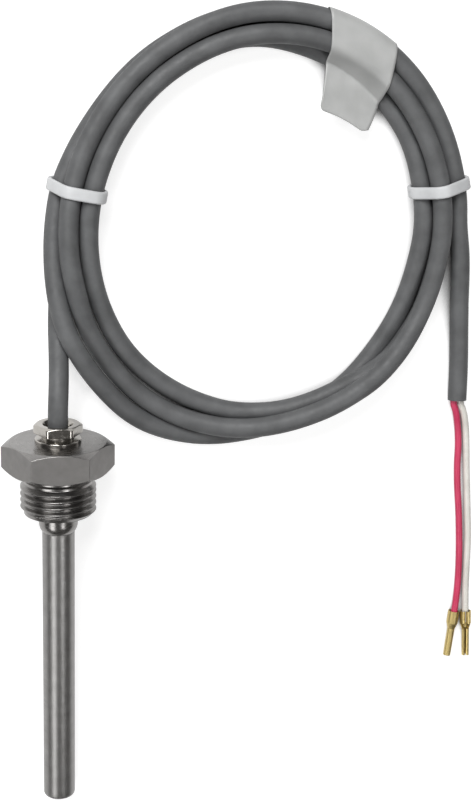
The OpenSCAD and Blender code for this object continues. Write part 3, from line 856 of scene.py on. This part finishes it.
head_steel = turned_steel("head_steel", (0.28, 0.272, 0.265), roughness=0.26, ring_scale=9.0)
matte_flats(head_steel, matte=0.55)
cut = head.modifiers.new("thread", "NODES")
cut.node_group = thread_cutter()
settings = {
    "Pitch": THREAD_PITCH,
    "Depth": THREAD_DEPTH,
    "Crest Radius": THREAD_R,
    "First Crest": THREAD_FIRST_CREST,
    "Start": THREAD_START,
    "End": -STUB_LENGTH + THREAD_END_GAP,
    "Material": head_steel,
}
for item in cut.node_group.interface.items_tree:
    if item.in_out == "INPUT" and item.name in settings:
        cut[item.identifier] = settings[item.name]
fixed_in_place(head)
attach(head, "root")
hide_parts("well_head")


# ---------------------------------------------------------------- immersion tube
# Drawn stainless tube, closed by a plug that is welded in and ground flush.
# The middle of the plug keeps a small weld pip.
TUBE_WALL = 1.0
TUBE_ROWS = 40
TIP_H = 3.0
PIP_R = 1.5
PIP_FOOT_W = 0.3
PIP_FOOT_H = 0.04
# A turned form can't close on its axis, so the plug keeps this pinhole.
PINHOLE_R = 0.02
ROUND_STEP = 3.0
round_angles = np.radians(np.arange(0, 360, ROUND_STEP))
shoulder = collar_end - COLLAR_ROUND - FIT
bore_r = TUBE_R - TUBE_WALL
tube = turned(
    "tube_drawn",
    [(bore_r, -INSERT_LENGTH + TIP_H)]
    + [(TUBE_R, a) for a in np.linspace(-INSERT_LENGTH + TIP_H, shoulder, TUBE_ROWS)]
    + [(SPIGOT_R, shoulder), (SPIGOT_R, -TUBE_SEAT - FIT), (bore_r, -TUBE_SEAT - FIT)],
    round_angles,
)
tube_steel = turned_steel("tube_steel", (0.3, 0.294, 0.289), roughness=0.38, ring_scale=5.0)
tube.data.materials.append(tube_steel)
fixed_in_place(tube)
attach(tube, "root")
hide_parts("well_tube")
plug_end = -INSERT_LENGTH + PIP_H
tip = turned(
    "tip_plug",
    [(PINHOLE_R, -INSERT_LENGTH), (PIP_R / 3, -INSERT_LENGTH + PIP_H / 10)]
    + [(PIP_R * 0.7, -INSERT_LENGTH + PIP_H / 3)]
    + [(PIP_R, plug_end - PIP_FOOT_H), (PIP_R + PIP_FOOT_W, plug_end)]
    + arc_rows(TUBE_R - TIP_ROUND, plug_end + TIP_ROUND, TIP_ROUND, -90, 0, steps=8)
    + [(TUBE_R, -INSERT_LENGTH + TIP_H), (PINHOLE_R, -INSERT_LENGTH + TIP_H)],
    round_angles,
)
tip.data.materials.append(tube_steel)
fixed_in_place(tip)
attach(tip, "root")
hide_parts("well_tip")


# ---------------------------------------------------------------- gland
# Nickel plated brass. A flanged sleeve is screwed into the head, and a hollow
# screw with a small hexagon and a flared mouth squeezes a rubber sleeve.
GLAND_R = 5.25
FLANGE_R = 6.4
FLANGE_BOTTOM = HEX_H + 0.02
FLANGE_TOP = 9.4
FLANGE_EDGE = 0.35
CHAMBER_R = 4.5
CABLE_HOLE_R = 3.0
GLAND_BOTTOM = -1.0
SEAL_BOTTOM = 2.0
WASHER_TOP = 6.1
SCREW_HEX_BOTTOM = 10.9
SCREW_TURN = math.radians(2)
SCREW_CORNER = 1.2
SCREW_RIM = 0.15
MOUTH_R = 4.1
MOUTH_ROUND = 0.4
MOUTH_FLARE_END = 150
MOUTH_DEPTH = 3.0


def bright_metal(name, base, roughness, wear):
    """Bright plate or strip with faint handling marks."""
    material, tree, shader = new_material(name, base, roughness, metallic=1.0)
    marks = noise_on(tree, "Object", scale=900, detail=4)
    uneven_gloss(tree, shader, marks, roughness - 0.04, roughness + 0.08)
    clouded(tree, shader, scale=300, dark=darker(base, 0.9), light=base)
    bumped(tree, shader, marks, strength=wear, distance=0.02)
    return material


gland_nickel = bright_metal("gland_nickel", (0.46, 0.44, 0.41), roughness=0.16, wear=0.04)
gland = turned(
    "gland_flange",
    [(CABLE_HOLE_R, GLAND_BOTTOM), (GLAND_R - FLANGE_EDGE, GLAND_BOTTOM)]
    + [(GLAND_R, GLAND_BOTTOM + FLANGE_EDGE), (GLAND_R, HEX_H), (FLANGE_R, FLANGE_BOTTOM)]
    + arc_rows(FLANGE_R - FLANGE_EDGE, FLANGE_TOP - FLANGE_EDGE, FLANGE_EDGE, 0, 90, steps=6)
    + [(CHAMBER_R, FLANGE_TOP), (CHAMBER_R, SEAL_BOTTOM), (CABLE_HOLE_R, SEAL_BOTTOM)],
    round_angles,
)
gland.data.materials.append(gland_nickel)
fixed_in_place(gland)
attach(gland, "root")
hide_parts("gland_body")
screw_angles = corner_angles(ROUND_STEP, fine=(0, 0.8, 1.6, 2.4, 3.2, 4.0, 4.6, 5.2))
screw_r = hexagon_r(screw_angles, SCREW_FLATS, SCREW_CORNER)
screw_rim = SCREW_FLATS / 2 - SCREW_RIM
screw_drop = (screw_r - screw_rim) * math.tan(HEX_CHAMFER)
flare_r, flare_a = MOUTH_R + MOUTH_ROUND, SCREW_TOP - MOUTH_ROUND
screw = turned(
    "gland_clamp_screw",
    [(CABLE_HOLE_R, WASHER_TOP), (CHAMBER_R - FIT, WASHER_TOP)]
    + [(CHAMBER_R - FIT, SCREW_HEX_BOTTOM), (screw_r, SCREW_HEX_BOTTOM)]
    + [(screw_r, SCREW_TOP - screw_drop), (screw_rim, SCREW_TOP)]
    + arc_rows(flare_r, flare_a, MOUTH_ROUND, 90, MOUTH_FLARE_END, steps=4)
    + [(CABLE_HOLE_R, SCREW_TOP - MOUTH_DEPTH)],
    screw_angles,
    spin=SCREW_TURN,
    edge=0.1,
)
screw.data.materials.append(gland_nickel)
fixed_in_place(screw)
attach(screw, "root")
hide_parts("gland_screw")


# ---------------------------------------------------------------- inner pieces
# Rubber sleeve, washer, capsule, potting, element, leads and splices are
# hidden in the closed probe. They keep their turned solids and get the
# finish of what they are made of.
def plain_finish(name, base, roughness, metallic, scale, relief):
    """Cloudy colour and fine relief for a small inner piece."""
    material, tree, shader = new_material(name, base, roughness, metallic)
    cloud = clouded(tree, shader, scale, dark=darker(base, 0.85), light=base)
    bumped(tree, shader, cloud, strength=0.3, distance=relief)
    return material


# Each piece: its finish, and that finish's colour, roughness, metal, noise scale and relief.
INNER = {
    "gland_seal": ("seal_rubber", (0.02, 0.02, 0.02), 0.7, 0, 900, 0.05),
    "gland_washer": ("washer_brass", (0.70, 0.52, 0.26), 0.3, 1, 900, 0.02),
    "sensor_capsule": ("capsule_steel", (0.5, 0.5, 0.49), 0.3, 1, 700, 0.02),
    "capsule_potting": ("potting_resin", (0.66, 0.6, 0.47), 0.85, 0, 900, 0.1),
    "rtd_element": ("element_ceramic", (0.85, 0.83, 0.78), 0.6, 0, 700, 0.03),
    "lead_red": ("lead_wire", (0.6, 0.58, 0.54), 0.3, 1, 900, 0.01),
    "lead_white": ("lead_wire", (0.6, 0.58, 0.54), 0.3, 1, 900, 0.01),
    "splice_red": ("splice_sleeve", (0.62, 0.55, 0.42), 0.35, 1, 900, 0.02),
    "splice_white": ("splice_sleeve", (0.62, 0.55, 0.42), 0.35, 1, 900, 0.02),
}
finishes = {}
for node, (finish, *look) in INNER.items():
    if finish not in finishes:
        finishes[finish] = plain_finish(finish, *look)
    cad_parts[node].material_slots[0].material = finishes[finish]
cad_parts["cable_inner"].material_slots[0].material = jacket_grey
for tone in CORES:
    pvc = bpy.data.materials[f"core_{tone}_pvc"]
    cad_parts[f"core_{tone}_inner"].material_slots[0].material = pvc


# ---------------------------------------------------------------- crimp contacts
# Rolled from thin brass strip. The grip is folded round the insulation and
# the long barrel is rolled shut, one with its seam down and one up.
contact_brass = bright_metal("contact_brass", (0.60, 0.47, 0.20), roughness=0.36, wear=0.01)
for tone in CORES:
    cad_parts[f"contact_{tone}"].material_slots[0].material = contact_brass


# ---------------------------------------------------------------- studio
# A white table in a dim room, with a broad soft lamp at the front left, a
# narrower one at the front right and one high behind. Its white glow is a painted pool of light that
# fades far off, painted shade darkens it in narrow hollows, and it takes the shadows of the lamps.
FLOOR = 3.0
FLOOR_GLOW = 0.74
FAR_GLOW = 0.15
GLOSSY_SHARE = 0.75
# Middle and fade distances of the painted pool of light on the table.
PAINTED_POOL_MIDDLE = (0.06, 0.09, 0)
PAINTED_POOL_FADE = (0.2, 0.6)
# Reach and range of the painted shade that darkens the glow in narrow hollows.
PAINTED_SHADE_REACH = 0.015
PAINTED_SHADE_RANGE = (0.25, 0.5)
ROOM_GREY = (0.1, 0.097, 0.093)


def floor_paper():
    """White paper that glows to the camera and in reflections, but lights nothing else; its glow is
    a painted pool of light that fades far from the probe, with painted shade in narrow hollows.
    """
    material, tree, shader = new_material("floor_paper", (0.5, 0.5, 0.5), roughness=0.9)
    shader.inputs["Specular IOR Level"].default_value = 0.0
    shader.inputs["Emission Color"].default_value = (1, 1, 1, 1)
    calc = sums_in(tree)
    ray = tree.nodes.new("ShaderNodeLightPath").outputs
    glossy = calc("MULTIPLY", ray["Is Glossy Ray"], GLOSSY_SHARE)
    seen = calc("MAXIMUM", calc("MAXIMUM", ray["Is Camera Ray"], glossy), ray["Is Transmission Ray"])
    # Painted pool of light: the glow is strongest round the probe and fades far off.
    place = tree.nodes.new("ShaderNodeTexCoord")
    away = tree.nodes.new("ShaderNodeVectorMath")
    away.operation = "DISTANCE"
    away.inputs[1].default_value = PAINTED_POOL_MIDDLE
    tree.links.new(place.outputs["Object"], away.inputs[0])
    painted_pool = ranged(tree, away.outputs["Value"], FLOOR_GLOW, FAR_GLOW, *PAINTED_POOL_FADE)
    # Painted shade: ambient occlusion darkens the glow in narrow hollows, such as the gaps between
    # strands.
    hollow = tree.nodes.new("ShaderNodeAmbientOcclusion")
    hollow.inputs["Distance"].default_value = PAINTED_SHADE_REACH
    outside_painted_shade = ranged(tree, hollow.outputs["AO"], 0, 1, *PAINTED_SHADE_RANGE)
    glow = calc("MULTIPLY", calc("MULTIPLY", seen, painted_pool), outside_painted_shade)
    tree.links.new(glow, shader.inputs["Emission Strength"])
    return material


corners = [(-FLOOR, -FLOOR, 0), (FLOOR, -FLOOR, 0), (FLOOR, FLOOR, 0), (-FLOOR, FLOOR, 0)]
floor = mesh_piece("floor", corners, [(0, 1, 2, 3)], smooth_angle=0)
floor.data.materials.append(floor_paper())
world = bpy.data.worlds.new("surround")
world.use_nodes = True
world.node_tree.nodes["Background"].inputs["Color"].default_value = (*ROOM_GREY, 1)
bpy.context.scene.world = world


def soft_lamp(name, at, toward, size, power):
    """A rectangular lamp that faces a point."""
    data = bpy.data.lights.new(name, "AREA")
    data.shape = "RECTANGLE"
    data.size, data.size_y = size
    data.energy = power
    lamp = bpy.data.objects.new(name, data)
    lamp.location = at
    lamp.rotation_euler = (Vector(toward) - Vector(at)).to_track_quat("-Z", "Y").to_euler()
    bpy.context.scene.collection.objects.link(lamp)


soft_lamp("key_lamp", at=(-0.6, -0.5, 0.75), toward=(0, -0.5, 0), size=(0.85, 0.44), power=4.2)
soft_lamp("strip_lamp", at=(0.36, -0.2, 0.75), toward=(0, -0.2, 0), size=(0.6, 0.2), power=1.7)
soft_lamp("back_lamp", at=(-0.25, 0.75, 0.85), toward=(0.04, 0.08, 0), size=(0.6, 0.6), power=12)
bpy.context.scene.view_settings.view_transform = "Standard"
